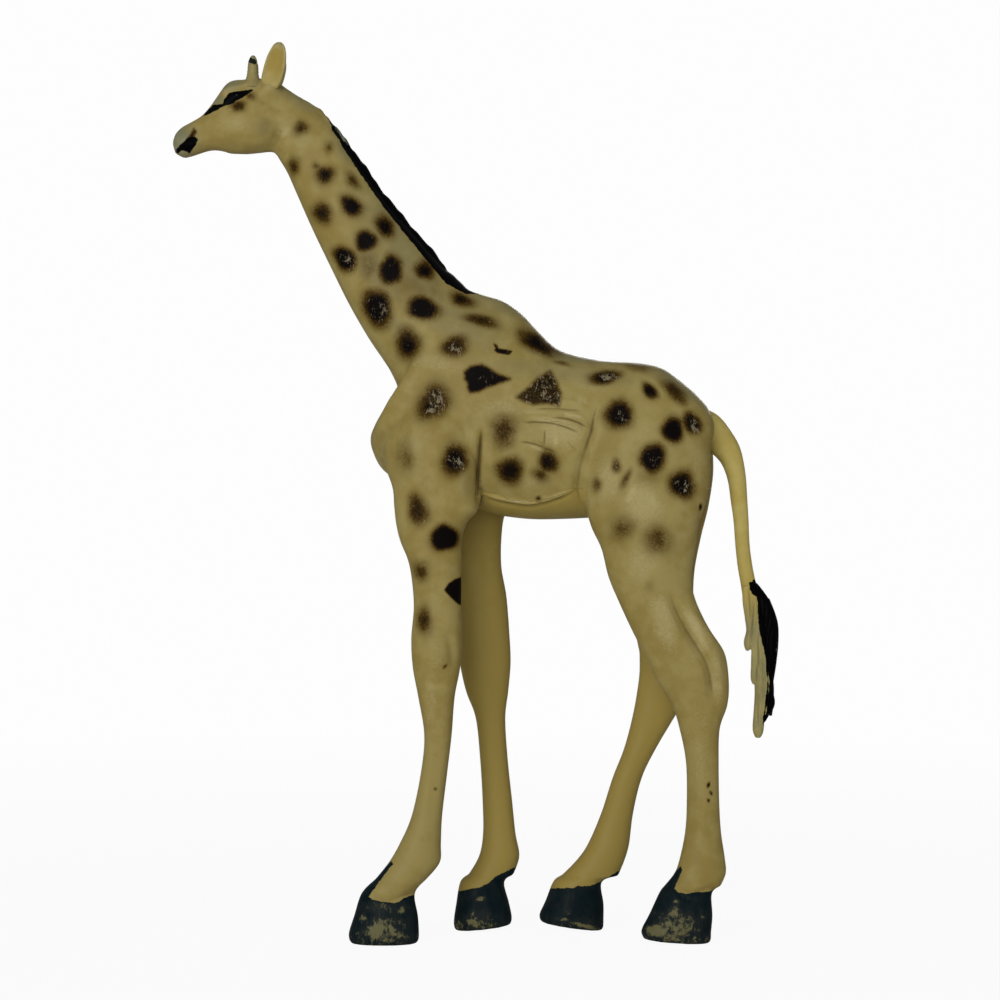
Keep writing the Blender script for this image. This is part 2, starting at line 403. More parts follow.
# Sprayed spots: middle, half sizes, lean, tone, wear, softness of the edge
SPOTS = (
    (301, 128, 7, 6, 0, 0.82, 0.1, 0.9), (329, 147, 5, 6, 0, 0.6, 0, 0.9),
    (294, 166, 6, 8, 0, 0.78, 0.1, 0.8), (325, 175, 9, 8, 10, 0.92, 0.1, 0.7),
    (316, 166, 4, 4, 0, 0.6, 0, 0.9), (353, 181, 10, 5, 45, 0.7, 0.2, 0.8),
    (322, 213, 10, 10, 20, 0.92, 0.4, 0.6), (351, 206, 11, 8, 35, 1.1, 0.18, 0.6),
    (385, 226, 8.5, 10.5, -30, 1.04, 0.3, 0.6), (366, 241, 9, 10, 0, 1.2, 0.25, 0.4),
    (345, 259, 14, 9, 45, 1.12, 0.7, 0.4), (391, 270, 10.5, 12.5, -15, 1.26, 0.28, 0.5),
    (425, 270, 8.5, 10.5, -35, 1.02, 0.1, 0.6), (377, 308, 13.5, 16.5, -22, 1.15, 0.7, 0.4),
    (423, 308, 15, 9.5, 12, 1.26, 0.34, 0.5), (462, 300, 13, 6, 20, 0.9, 0.2, 0.7),
    (482, 321, 16, 6, 12, 0.78, 0.3, 0.5), (408, 344, 12, 14, 10, 0.98, 0.32, 0.6),
    (455, 346, 12.5, 11, -25, 0.86, 0.8, 0.3), (537, 343, 20, 9, 28, 0.95, 0, 0.5),
    (605, 377, 15, 7, -8, 0.96, 0.85, 0.3), (433.5, 402.5, 14.5, 18.5, 20, 0.88, 0.95, 0.4),
    (504, 431, 13, 15, 0, 0.74, 0.4, 0.7), (405, 456, 10, 16, 0, 0.5, 0.1, 0.8),
    (455, 460, 13, 14, 0, 1.08, 0.9, 0.4), (510, 471, 12.5, 14, -35, 0.97, 0.3, 0.4),
    (548, 462, 9, 11, 10, 0.98, 0.1, 0.5), (541, 474, 9, 8, 0, 0.66, 0, 0.9),
    (418, 510, 10.5, 15, -8, 0.8, 0.35, 0.4), (445, 538, 12, 12, 0, 1.45, 0.05, 0.2),
    (421, 571, 7, 10, 0, 0.76, 0.1, 0.8), (424, 621, 8, 13, 0, 0.74, 0.2, 0.7),
    (619, 414.5, 13.5, 12, 20, 1.15, 0.65, 0.5), (650, 391, 9, 6, 40, 1.02, 0.1, 0.4),
    (675, 392, 15, 7, 42, 0.8, 0.1, 0.6), (637, 367, 15, 5, 14, 0.5, 0.1, 0.7),
    (673, 430, 10, 12, -15, 1.18, 0.2, 0.4), (692, 423, 8, 12, -40, 1, 0.75, 0.4),
    (653, 458, 12, 13, 0, 1.18, 0.5, 0.4), (682, 485, 12, 12.5, 20, 1.15, 0.75, 0.5),
    (616, 466, 5, 7, 0, 0.66, 0.5, 0.6), (626, 479, 4, 10, 25, 0.6, 0.4, 0.6),
    (597, 485, 5, 7, 0, 0.62, 0.2, 0.8), (622, 528, 12, 11, 0, 0.62, 0.2, 0.9),
    (658, 540, 13, 15, -15, 0.66, 0.3, 0.8), (650, 586, 5, 7, 0, 0.3, 0.1, 0.9),
    (412, 289, 34, 17, 42, 0.34, 0, 0.8), (368, 266, 13, 17, -20, 0.44, 0, 0.9),
    (469, 472, 6, 28, 0, 0.28, 0, 0.9), (650, 476, 14, 10, 0, 0.34, 0, 0.9),
    (266, 127, 8, 12, 0, 0.28, 0, 0.9), (436, 290, 13, 14, -38, 0.32, 0, 0.9),
    (238.5, 106, 7, 5, 0, 0.82, 0, 0.8), (251.5, 96, 6, 4, 20, 0.62, 0, 0.9),
    (281, 87, 5, 4, 0, 0.42, 0, 0.9), (562, 363, 9, 2.5, 10, 0.54, 0.2, 0.6),
    (708.5, 785, 1.5, 3, 15, 0.9, 0, 0.2), (711, 793, 1.4, 2.4, -20, 0.85, 0, 0.2),
    (708.5, 800.5, 1.5, 2.2, 0, 0.9, 0, 0.2), (700.5, 507, 1.5, 3.6, 5, 0.95, 0, 0.2),
    (445, 666.5, 2.8, 1.5, -40, 0.7, 0, 0.4), (435.5, 789, 1.6, 1.6, 0, 0.7, 0, 0.4),
    (538.5, 499, 3.4, 3, 0, 0.8, 0, 0.2),
)
# Spots with corners: outline, tone, wear, softness in drawing units
CORNERED_SPOTS = (
    (((465, 372), (471, 367), (482, 365), (489, 369), (497, 374.5), (510, 379), (496, 383.5), (486, 387),
     (478, 391), (470.5, 392), (468.5, 388), (468.5, 383), (465.5, 379)), 1.26, 0.3, 3.4),
    (((516, 397), (528, 388), (538, 378), (550, 371), (556, 380), (561, 393), (559, 406), (548, 403),
     (533, 404.5), (521, 400)), 0.94, 0.7, 3.2),
    (((445, 590), (449, 584), (455, 580), (464, 577), (468, 604), (459, 604), (451, 597)), 1.45, 0, 1.8),
    (((493.5, 343.5), (496.6, 345), (498.5, 348.6), (503.5, 349.4), (512, 351.2), (509.5, 354.6),
     (503.5, 353.6), (498, 353), (494.5, 350.4), (496, 348.4)), 1.15, 0.3, 1.2),
    (((186.5, 139), (190.5, 134), (193.6, 127.8), (196.6, 131.5), (195.2, 135.6),
     (190.6, 138.8)), 0.92, 0, 1.5),
)
# Brushed paint: outlines on the drawing
MANE_PAINT = (
    (327, 117), (330, 122), (332, 130), (339, 140), (343, 148), (350, 158), (359, 172), (387, 212),
    (405, 234), (432, 267), (450, 288), (466, 294), (478, 294), (478, 284), (456, 262), (430, 230),
    (405, 200), (380, 165), (360, 138), (342, 116),
)
EYE_PAINT = (
    (203, 116), (205, 113.5), (208, 109.8), (213, 104.8), (218, 104.3), (222.5, 104), (225.6, 97.3),
    (228.8, 93.5), (232.5, 91.6), (238.8, 91), (245, 90.4), (254.5, 89.2), (251.3, 91.8), (246.3, 95.4),
    (240, 99.1), (235.6, 100.6), (233.8, 103.5), (230, 104.5), (223.8, 106), (217.5, 109.8), (212.5, 112.3),
    (208, 114.6),
)
NOSE_PAINT = (
    (176.2, 153.8), (176.4, 148.4), (181.8, 143.2), (187.4, 138.2), (193, 136), (198.3, 138.8),
    (196.6, 143.5), (191.9, 149.8), (189.2, 155), (187, 151.6), (182, 150.5), (179, 153),
)
LEG_PAINT = {
    "left_foreleg": (
        (391, 861), (393, 864), (379, 882), (371, 893), (369, 897), (373, 900), (381, 901.5), (395, 903),
        (400, 901), (403, 899), (408, 896), (414, 895), (430, 895), (430, 970), (330, 970), (330, 930),
        (356, 896), (366, 888),
    ),
    "right_foreleg": (
        (440, 893), (459, 891), (466, 890), (480, 887), (489, 883), (495, 877), (505, 872), (517, 866),
        (530, 866), (520, 890), (530, 970), (430, 970),
    ),
    "right_hindleg": (
        (530, 888), (554, 888), (575, 888), (578, 886), (590, 886), (600, 882), (610, 876), (622, 869),
        (634, 869), (620, 896), (620, 970), (520, 970),
    ),
    "left_hindleg": (
        (681, 866), (682, 870), (677, 882), (674, 889), (678, 892), (686, 894), (696, 892), (702, 892.5),
        (709, 891), (717, 889), (735, 888), (735, 970), (620, 970), (630, 920), (662, 884),
    ),
}
# Paint rubbed off: middle, half sizes, lean, strength
BARE_PATCHES = (
    (376, 931, 10, 11, 20, 1.1), (363, 918, 4, 7, 15, 0.7), (401, 910, 6, 4, -40, 0.75),
    (389, 940, 9, 4, 0, 0.85), (385, 922, 7, 5, 0, 0.65), (384, 931, 26, 17, 0, 0.74),
    (384, 908, 22, 10, 0, 0.36), (404, 936, 8, 6, 0, 0.5), (358, 936, 6, 6, 0, 0.5),
    (480, 899, 6, 3, -10, 0.75), (473, 923, 7, 5, 20, 0.85), (459, 926, 5, 7, 0, 0.7),
    (480, 922, 26, 12, 0, 0.46), (584, 925.5, 18, 2.6, 14, 0.85), (565, 919.5, 12, 2.2, 8, 0.6),
    (597, 930, 7, 3, 0, 0.75), (568, 913, 4, 3, 0, 0.4), (657, 931, 14, 8, 8, 1), (674, 912, 7, 9, 0, 0.7),
    (681, 937, 5, 8, -10, 0.75), (676, 902, 4, 3, 0, 0.6), (676, 928, 30, 19, 0, 0.7),
    (694, 940, 14, 4, 0, 0.55), (703, 914, 5, 9, 0, 0.35), (342, 133, 5, 17, -33, 0.8),
    (180, 152, 4, 3, 0, 0.5), (235.8, 94.8, 0.9, 0.8, 0, 1), (420, 238, 6, 40, -38, 0.22),
)


def flow(rows, steps):
    """Rows of numbers on one smooth curve through the given rows."""
    rows = np.array(rows, dtype=float)
    last = len(rows) - 1
    found = []
    for index in range(last):
        before = rows[max(index - 1, 0)]
        start = rows[index]
        end = rows[index + 1]
        after = rows[min(index + 2, last)]
        for step in range(steps):
            t = step / steps
            bend = (end - before) * t + (2 * before - 5 * start + 4 * end - after) * t ** 2
            bend += (3 * start - before - 3 * end + after) * t ** 3
            found.append(start + bend / 2)
    found.append(rows[-1])
    return np.array(found)


def step_up(value, low, high):
    """Smooth step from 0 at low to 1 at high."""
    t = np.clip((value - low) / (high - low), 0, 1)
    return t * t * (3 - 2 * t)


def frame_point(axes, along_share, rise_share):
    """Point of the side view from its shares of the length and the depth of a body part."""
    origin, along, upward, length, depth = axes
    return origin + along * (along_share * length) + upward * (rise_share * depth)


TRUNK = (Vector((TRUNK_START, 0, LEG_LENGTH)), Vector((1, 0, 0)), Vector((0, 0, 1)), TRUNK_LENGTH, TRUNK_DEPTH)
NECK_ALONG = Vector((-math.sin(NECK_LEAN), 0, math.cos(NECK_LEAN)))
NAPE = Vector((math.cos(NECK_LEAN), 0, math.sin(NECK_LEAN)))
NECK = (frame_point(TRUNK, *NECK_ROOT), NECK_ALONG, NAPE, NECK_LENGTH, NECK_DEPTH)
HEAD_ALONG = Vector((-math.cos(HEAD_DROP), 0, -math.sin(HEAD_DROP)))
BROW = Vector((-math.sin(HEAD_DROP), 0, math.cos(HEAD_DROP)))
HEAD = (NECK[0] + NECK_ALONG * NECK_LENGTH, HEAD_ALONG, BROW, HEAD_LENGTH, HEAD_DEPTH)


def body_rows():
    """Sections of trunk, neck and head in one run: top x and z, bottom x and z, half width."""
    rows = []
    for axes, shares, width in ((TRUNK, TRUNK_SHARES, TRUNK_WIDTH), (NECK, NECK_SHARES, NECK_WIDTH),
                                (HEAD, HEAD_SHARES, HEAD_WIDTH)):
        for top_along, top_rise, low_along, low_rise, width_share in shares:
            top = frame_point(axes, top_along, top_rise)
            low = frame_point(axes, low_along, low_rise)
            rows.append((top.x, top.z, low.x, low.z, width * width_share / 2))
    return rows


def leg_rows(leg):
    """Sections of one leg down to the sole: front, rear, height, middle plane, half width."""
    side, depth, shares, (root_share, sole_share, setback_share, hoof_share) = LEGS[leg]
    hoof = HOOF_LENGTH * hoof_share
    root = TRUNK_START + root_share * TRUNK_LENGTH
    reach = LEG_SPACING / 2
    rows = []
    for height_share, step, depth_share, width_share, stance in shares:
        height = min(height_share, 1) * LEG_LENGTH + max(height_share - 1, 0) * TRUNK_DEPTH
        middle = root + step * depth
        half = depth * depth_share / 2
        rows.append((middle - half, middle + half, height, side * stance * reach, LEG_WIDTH * width_share / 2))
    for height_share, setback, length_share, width_share in HOOF_SHARES:
        middle = root + sole_share * depth + setback * setback_share * hoof
        half = hoof * length_share / 2
        height = height_share * HOOF_HEIGHT
        rows.append((middle - half, middle + half, height, side * reach, HOOF_WIDTH * width_share / 2))
    return rows


def ring(top, low, middle, half_width, squareness, sides):
    """Closed section through two points of the side view, as rows of x, y and z."""
    turn = np.arange(sides) * (2 * math.pi / sides)
    rise = np.copysign(np.abs(np.cos(turn)) ** squareness, np.cos(turn))
    out = np.copysign(np.abs(np.sin(turn)) ** squareness, np.sin(turn))
    centre = (np.array(top) + np.array(low)) / 2
    reach = (np.array(top) - np.array(low)) / 2
    return np.stack([centre[0] + reach[0] * rise, middle + half_width * out, centre[1] + reach[1] * rise], axis=1)


def skin(name, rings):
    """Closed mesh object over rings that have the same number of points."""
    sides = len(rings[0])
    bm = bmesh.new()
    rows = [[bm.verts.new(tuple(point)) for point in points] for points in rings]
    for near, far in zip(rows, rows[1:]):
        for index in range(sides):
            following = (index + 1) % sides
            bm.faces.new((near[index], near[following], far[following], far[index]))
    bm.faces.new(rows[0])
    bm.faces.new(rows[-1])
    bmesh.ops.triangulate(bm, faces=[face for face in bm.faces if len(face.verts) > 4])
    bmesh.ops.recalc_face_normals(bm, faces=bm.faces)
    return new_piece(name, bm)


def new_object(name, data):
    """Object in the scene with this mesh, curve, light or camera."""
    item = bpy.data.objects.new(name, data)
    bpy.context.scene.collection.objects.link(item)
    return item


def new_piece(name, bm):
    """Mesh object from a finished bmesh."""
    mesh = bpy.data.meshes.new(name)
    bm.to_mesh(mesh)
    bm.free()
    return new_object(name, mesh)


def settled(item, name):
    """Plain mesh object from an object with modifiers, which is removed."""
    graph = bpy.context.evaluated_depsgraph_get()
    mesh = bpy.data.meshes.new_from_object(item.evaluated_get(graph))
    mesh.transform(item.matrix_world)
    mesh.name = name
    bpy.data.objects.remove(item, do_unlink=True)
    return new_object(name, mesh)


def melted(items, name, voxel):
    """One closed skin round several overlapping closed meshes."""
    bm = bmesh.new()
    for item in items:
        item.data.transform(item.matrix_world)
        bm.from_mesh(item.data)
        bpy.data.objects.remove(item, do_unlink=True)
    whole = new_piece(name, bm)
    remesh = whole.modifiers.new("remesh", "REMESH")
    remesh.mode = "VOXEL"
    remesh.voxel_size = voxel
    return settled(whole, name)


def read_rows(source, key):
    """Rows of three numbers that a mesh keeps under this key."""
    found = np.empty(len(source) * 3)
    source.foreach_get(key, found)
    return found.reshape(-1, 3)


def read_points(mesh):
    """Vertex places of a mesh."""
    return read_rows(mesh.vertices, "co")


def write_points(mesh, points):
    """Put the vertices of a mesh at these places."""
    mesh.vertices.foreach_set("co", points.ravel())
    mesh.update()


def read_normals(mesh):
    """Vertex normals of a mesh."""
    return read_rows(mesh.vertex_normals, "vector")


def relaxed(mesh, points, pulls, weight=1.0):
    """Points drawn by each pull in turn towards the middle of their neighbours; a pull below zero pushes away."""
    edges = np.empty(len(mesh.edges) * 2, dtype=np.int64)
    mesh.edges.foreach_get("vertices", edges)
    first, second = edges.reshape(-1, 2).T
    count = len(points)
    links = np.maximum(np.bincount(first, minlength=count) + np.bincount(second, minlength=count), 1)
    weight = np.broadcast_to(weight, (count,))[:, None]
    for pull in pulls:
        total = np.stack([np.bincount(first, axis[second], count) + np.bincount(second, axis[first], count)
                          for axis in points.T], axis=1)
        points = points + (total / links[:, None] - points) * pull * weight
    return points


def seen(points, mirrored):
    """Places of points on the side drawing; mirrored ones are seen from the other side."""
    depth = -np.abs(points[:, 1]) if mirrored else points[:, 1]
    scale = -EYE.y / (depth - EYE.y) / UNIT
    across = SHEET_MIDDLE + (points[:, 0] - EYE.x) * scale
    down = SHEET_MIDDLE - (points[:, 2] - EYE.z) * scale
    return np.stack([across, down], axis=1)


def leg_shift(points):
    """How far the legs on the right stand behind those on the left, at each point's place."""
    shift = np.zeros(len(points))
    for left, right, share in (("left_foreleg", "right_foreleg", 1 - step_up(points[:, 0], 8 * MM, 15 * MM)),
                               ("left_hindleg", "right_hindleg", step_up(points[:, 0], 8 * MM, 15 * MM))):
        middles = []
        for leg in (left, right):
            rows = np.array(leg_rows(leg))[::-1]
            middles.append(np.interp(points[:, 2], rows[:, 2], (rows[:, 0] + rows[:, 1]) / 2))
        shift += (middles[1] - middles[0]) * share
    return shift * (1 - step_up(points[:, 2], 120 * MM, 150 * MM))


def on_sheet(points):
    """Places of all points on the left side's drawing: points on the right take the matching place."""
    moved = points.copy()
    right = points[:, 1] > 0
    moved[right, 0] -= leg_shift(points)[right]
    return seen(moved, True)


def from_line(places, line):
    """Distance of places from a line of stops, the share of its length at the nearest point, and the side of it."""
    line = np.array(line, dtype=float)
    spans = np.linalg.norm(np.diff(line, axis=0), axis=1)
    starts = np.concatenate([[0], np.cumsum(spans)])
    best = np.full(len(places), 1e9)
    share = np.zeros(len(places))
    side = np.ones(len(places))
    for index, span in enumerate(spans):
        step = line[index + 1] - line[index]
        offset = places - line[index]
        t = np.clip(offset @ step / max(span * span, 1e-9), 0, 1)
        gap = np.linalg.norm(offset - t[:, None] * step, axis=1)
        nearer = gap < best
        best[nearer] = gap[nearer]
        share[nearer] = ((starts[index] + t * span) / starts[-1])[nearer]
        side[nearer] = np.sign(step[0] * offset[:, 1] - step[1] * offset[:, 0])[nearer]
    return best, share, side


def inside(places, outline):
    """Signed distance into a closed outline: above zero inside it, below zero outside."""
    outline = np.array(outline, dtype=float)
    gap = from_line(places, np.vstack([outline, outline[:1]]))[0]
    across, down = places.T
    within = np.zeros(len(places), dtype=bool)
    for (x0, y0), (x1, y1) in zip(outline, np.roll(outline, -1, axis=0)):
        crosses = (y0 > down) != (y1 > down)
        if y1 != y0:
            within ^= crosses & (across < (x1 - x0) * (down - y0) / (y1 - y0) + x0)
    return np.where(within, gap, -gap)


def egg(places, across, down, wide, high, lean=0, wobble=0):
    """Distance from an oval's middle, 1 on its edge, which may wobble."""
    turn = math.radians(lean)
    dx, dy = places[:, 0] - across, places[:, 1] - down
    along = (dx * math.cos(turn) + dy * math.sin(turn)) / wide
    square = (dy * math.cos(turn) - dx * math.sin(turn)) / high
    angle = np.arctan2(square, along)
    start = across * 0.7 + down * 0.3
    waves = 0.7 * np.sin(2 * angle + start) + 0.6 * np.sin(3 * angle + 2.3 * start)
    waves = waves + 0.2 * np.sin(5 * angle + 4.1 * start)
    return np.hypot(along, square) / (1 + wobble * waves)


def patches(places, table):
    """Strongest of several soft oval patches at each place."""
    strength = np.zeros(len(places))
    for across, down, wide, high, lean, most in table:
        gap = egg(places, across, down, wide, high, lean, 0.12)
        strength = np.maximum(strength, most * (1 - step_up(gap, 0.25, 1.35)))
    return strength


class Link:
    """A node's result, so that sums on it add their own nodes."""

    def __init__(self, graph, socket):
        self.graph = graph
        self.socket = socket

    def sum(self, operation, *values):
        return self.graph.node("ShaderNodeMath", {"operation": operation}, dict(enumerate(values)))

    def __add__(self, other):
        return self.sum("ADD", self, other)

    def __radd__(self, other):
        return self.sum("ADD", other, self)

    def __sub__(self, other):
        return self.sum("SUBTRACT", self, other)

    def __rsub__(self, other):
        return self.sum("SUBTRACT", other, self)

    def __mul__(self, other):
        return self.sum("MULTIPLY", self, other)

    def __rmul__(self, other):
        return self.sum("MULTIPLY", other, self)

    def larger(self, other):
        return self.sum("MAXIMUM", self, other)

    def size(self):
        return self.sum("ABSOLUTE", self)

    def between(self, low, high):
        """Smooth step from 0 at low to 1 at high."""
        settings = {"interpolation_type": "SMOOTHSTEP"}
        return self.graph.node("ShaderNodeMapRange", settings, {"Value": self, "From Min": low, "From Max": high})

    def result(self, name):
        """Another result of the same node."""
        return Link(self.graph, self.socket.node.outputs[name])


class Graph:
    """Node tree that is filled from expressions."""

    def __init__(self, tree):
        self.tree = tree

    def give(self, node, values):
        """Set or link inputs of a node."""
        for name, value in values.items():
            if isinstance(value, Link):
                self.tree.links.new(value.socket, node.inputs[name])
            else:
                node.inputs[name].default_value = value

    def node(self, kind, settings=None, values=None, result=0):
        """New node with its settings, then the values or links of its inputs; gives one of its results."""
        node = self.tree.nodes.new(kind)
        for name, value in (settings or {}).items():
            setattr(node, name, value)
        self.give(node, values or {})
        return Link(self, node.outputs[result])

    def attribute(self, name):
        return self.node("ShaderNodeAttribute", {"attribute_name": name}, result="Fac")

    def noise(self, place, scale, detail=2.0, distortion=0.0):
        values = {"Vector": place, "Scale": scale, "Detail": detail, "Distortion": distortion}
        return self.node("ShaderNodeTexNoise", None, values)

    def mix(self, share, first, second):
        return self.node("ShaderNodeMix", {"data_type": "RGBA"}, {0: share, 6: first, 7: second}, 2)

    def coated(self, colour, *coats):
        """Colour under coats, each with its share and its own colour."""
        for share, coat in coats:
            colour = self.mix(share, colour, coat)
        return colour

    def rise(self, place):
        """Height of a place above the floor."""
        return self.node("ShaderNodeSeparateXYZ", None, {0: place}, "Z")

    def stretched(self, place, scale, turn=(0, 0, 0)):
        return self.node("ShaderNodeMapping", None, {"Vector": place, "Scale": scale, "Rotation": turn})


def new_material(name):
    """Material with its graph and its shader."""
    material = bpy.data.materials.new(name)
    material.use_nodes = True
    return material, Graph(material.node_tree), material.node_tree.nodes["Principled BSDF"]


def painted_plastic(name, cream, deep_cream, enamel, high_paint=BLACK_PAINT, bare_share=0.5, cloudy=1):
    """Moulded cream plastic under sprayed spots and brushed paint, rubbed and speckled with use."""
    material, graph, shader = new_material(name)
    place = graph.node("ShaderNodeTexCoord", result="Object")
    broad = graph.noise(place, 38, 3, 0.4)
    lumps = graph.noise(place, 330, 3)
    grain = graph.noise(place, 1900, 3)
    flecks = graph.noise(place, 900, 3, 0.6)
    streaks = graph.noise(graph.stretched(place, (900, 900, 260), (0.2, 0.5, 0)), 1, 4, 1.2)
    scratches = graph.noise(graph.stretched(place, (2600, 1400, 800), (0, 0.7, 0)), 1, 3, 1.6)
    # the same noises up and down from zero
    lump, fine, fleck, scratch = [noise - 0.5 for noise in (lumps, grain, flecks, scratches)]
    dust = graph.noise(place, 4200, 2) - 0.5
    cavity, spots, rub, paint, bare, soiled = [
        graph.attribute(word) for word in ("cavity", "spots", "rub", "enamel", "bare", "dirt")]
    above_hooves = graph.rise(place).between(30 * MM, 60 * MM)

    # plastic: cloudy tone, scuffs, dull places, cracks, grime in the hollows and creases, a few dark specks
    cloud = (broad * 0.8 + lumps * 0.6).between(0.50, 0.86)
    low = graph.rise(place).between(110 * MM, 50 * MM)
    tint = (cloud * cloudy).larger(low * 0.35).larger(graph.attribute("tint"))
    scuffed = (graph.attribute("scuff") * 1.1 + fine * 0.7 + lump * 0.9).between(0.15, 1.15)
    gap = (graph.attribute("crease") + fleck * 1.6).size()
    dirt = (1 - gap.between(0.1, 1.5)) * soiled
    specks = grain.between(0.73, 0.77) * broad.between(0.40, 0.55)
    plastic = graph.coated(
        graph.mix(tint, cream, deep_cream), (scuffed * 0.70, RUBBED_CREAM),
        (graph.attribute("dull") * (0.75 + lump * 0.8), DULL_OLIVE), (cavity.between(0.03, 0.30) * 0.70, GRIME),
        (dirt * 0.85, GRIME), ((1 - gap.between(0.0, 6.0)) * soiled.between(0.70, 1.0) * 0.50, GRIME),
        ((0 - cavity).between(0.04, 0.30) * 0.30, RUBBED_CREAM), (specks * 0.55, SPECK))

    # sprayed spots: brown haze, near black core, stippled edge, rubbed through
    sprayed = spots + (fine * 0.44 + lump * 0.44 + dust * 0.25) * spots.between(0.22, 0.62)
    haze = sprayed.between(0.0, 0.85) * 0.97
    core = sprayed.between(0.58, 1.12)
    worn = (rub * 0.60 + fleck * 1.3 + scratch * 1.6 + lump * 0.5).between(0.48, 0.80)
    worn = worn * spots.between(0.20, 0.65)
    tinted = graph.coated(plastic, (haze, SPOT_HAZE), (core, SPOT_CORE), (worn * 0.70, RUBBED_SPOT))

    # brushed paint with a ragged edge, rubbed thin and chipped
    thin = (bare + fleck * 1.5 + scratch * 0.9 + lump * 0.5).between(bare_share - 0.04, bare_share + 0.40)
    covered = (paint + fine * 1.2 + fleck * 2.4).between(-0.30, 0.30) * (1 - thin * 0.15)
    sheen = (lumps * 0.6 + streaks * 0.5 + bare * 0.35).between(0.44, 0.86)
    rubbed = graph.mix(above_hooves, WORN_OLIVE, WORN_GREY)
    thinned = thin * (0.55 + grain * 0.6)
    coat = graph.coated(enamel[0], (sheen, enamel[1]), (above_hooves, high_paint), (thinned, rubbed))

    rough = 0.42 + lump * 0.24 + fine * 0.16 + core * 0.12 + covered * 0.04 + cavity.between(0.05, 0.3) * 0.2
    height = lumps * 0.030 + grain * 0.010 + streaks * 0.006 + covered * 0.030 + core * (1 - worn) * 0.012
    height = height - dirt * 0.050
    relief = graph.node("ShaderNodeBump", None, {"Strength": 1.0, "Distance": MM, "Height": height})
    graph.give(shader, {
        "Base Color": graph.mix(covered, tinted, coat), "Roughness": rough, "Normal": relief,
        "Coat Weight": 0.08 * (1 - haze) * (1 - covered * 0.9), "Coat Roughness": 0.30,
        "Specular IOR Level": 0.02, "Subsurface Weight": 0.12, "Subsurface Radius": (1.0, 0.7, 0.35),
        "Subsurface Scale": 1.4 * MM})
    return material


def give_values(item, **fields):
    """Store a number for each vertex under each name, for the materials to read."""
    plain = {"enamel": NO_PAINT, "crease": NO_CREASE}
    for name in ("cavity", "spots", "rub", "enamel", "bare", "crease", "dirt", "scuff", "dull", "tint"):
        field = item.data.attributes.new(name, "FLOAT", "POINT")
        values = np.broadcast_to(fields.get(name, plain.get(name, 0.0)), (len(item.data.vertices),))
        field.data.foreach_set("value", values.astype(np.float32))


def cavity_of(mesh, points, normals):
    """How far each point lies below the smoothed skin, in millimetres: above zero in hollows."""
    smoothed = relaxed(mesh, points, DRAW_IN * CAVITY_PASSES)
    return np.einsum("ij,ij->i", smoothed - points, normals) / MM


def finish_piece(item, material, slot_name, *nodes):
    """Keep the piece inside the figure's box, shade it smooth, give it its material, put it in place of its solid."""
    low, high = np.array(frame_box)
    write_points(item.data, np.clip(read_points(item.data), low, high))
    item.data.materials.clear()
    item.data.materials.append(material)
    item.data.shade_smooth()
    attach(item, "root")
    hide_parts(*nodes)
    return item


def line_tree(name, sizes):
    """Geometry node tree with a line and named sizes going in: its graph and a link for each of them."""
    graph = Graph(bpy.data.node_groups.new(name, "GeometryNodeTree"))
    sockets = graph.tree.interface
    sockets.new_socket("Line", in_out="INPUT", socket_type="NodeSocketGeometry")
    for word, value in sizes.items():
        kind = "NodeSocketInt" if isinstance(value, int) else "NodeSocketFloat"
        sockets.new_socket(word, in_out="INPUT", socket_type=kind).default_value = value
    given = graph.tree.nodes.new("NodeGroupInput")
    return graph, [Link(graph, socket) for socket in given.outputs[:len(sizes) + 1]]


def finish_tree(graph, grown_form, material, name):
    """Give out what the tree has grown, as plain geometry of one material, under this name."""
    graph.tree.interface.new_socket(name, in_out="OUTPUT", socket_type="NodeSocketGeometry")
    plain = graph.node("GeometryNodeRealizeInstances", None, {"Geometry": grown_form})
    surfaced = graph.node("GeometryNodeSetMaterial", None, {"Geometry": plain, "Material": material})
    graph.give(graph.tree.nodes.new("NodeGroupOutput"), {name: surfaced})
    return graph.tree


def hair_row_tree(material):
    """Slanting locks of hair along a line: named inputs for their spacing, length, thickness and lean."""
    sizes = {"Spacing": 1.1 * MM, "Lock Length": 2.6 * MM, "Lock Radius": 0.55 * MM, "Lean": 0.55}
    graph, (line, spacing, length, radius, lean) = line_tree("hair_row", sizes)
    points = graph.node("GeometryNodeCurveToPoints", {"mode": "LENGTH"}, {"Curve": line, "Length": spacing})
    lock = graph.node("GeometryNodeMeshCone", None, {
        "Vertices": 10, "Side Segments": 4, "Radius Top": radius * 0.25, "Radius Bottom": radius, "Depth": length})
    wave = graph.node("FunctionNodeRandomValue", {"data_type": "FLOAT"}, {"Min": 0.75, "Max": 1.25, "Seed": 3}, 1)
    swing = graph.node("ShaderNodeCombineXYZ", None, {"Y": lean * wave})
    turned = graph.node("FunctionNodeRotateRotation", {"rotation_space": "LOCAL"}, {
        "Rotation": points.result("Rotation"), "Rotate By": swing})
    placed = graph.node("GeometryNodeInstanceOnPoints", None, {
        "Points": points.result("Points"), "Instance": lock, "Rotation": turned, "Scale": wave})
    return finish_tree(graph, placed, material, "Hair")


def strand_tree(material):
    """Round strand along a line whose points carry its thickness: a named input for its sides."""
    graph, (line, sides) = line_tree("strand", {"Sides": 24})
    profile = graph.node("GeometryNodeCurvePrimitiveCircle", None, {"Resolution": sides, "Radius": 1.0})
    body = graph.node("GeometryNodeCurveToMesh", None, {"Curve": line, "Profile Curve": profile, "Fill Caps": True})
    node = body.socket.node
    if "Scale" in node.inputs:
        graph.give(node, {"Scale": graph.node("GeometryNodeInputRadius")})
    return finish_tree(graph, body, material, "Strand")


